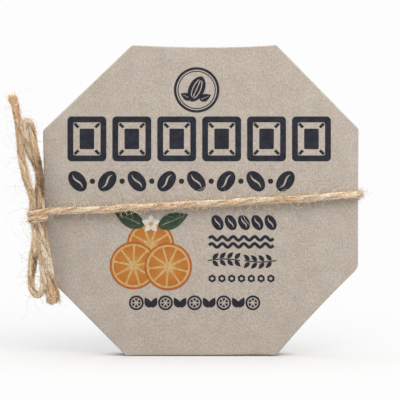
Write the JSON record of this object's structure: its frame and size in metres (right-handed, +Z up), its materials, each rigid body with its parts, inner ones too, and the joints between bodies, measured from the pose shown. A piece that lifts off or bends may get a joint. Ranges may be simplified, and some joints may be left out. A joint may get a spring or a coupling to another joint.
{
  "type": "packed chocolate bar",
  "caption": "Flat bar of chocolate with citrus peel, shut in a flat octagonal pack of kraft board that stands on its lowest edge, tied round with jute twine in a small bow.",
  "frame": {"origin": "middle of the pack's flat bottom face, on which it stands", "axes": "-Y is the printed front panel's outward normal, +X runs to the viewer's right, +Z is up"},
  "size_m": [0.1116, 0.0206, 0.0986],
  "materials": {
    "kraft_board": "matte, with fine fibres and specks",
    "jute_twine": "coarse matte fibre with loose hairs",
    "dark_ink": "matte printing ink on board",
    "colour_print": "matte printing ink on board"
  },
  "bodies": {
    "root": {"pack": "kraft_board", "band": "jute_twine", "knot": "jute_twine", "bow_upper_loop": "jute_twine", "bow_lower_loop": "jute_twine", "bow_upper_end": "jute_twine"}
  },
  "joints": []
}
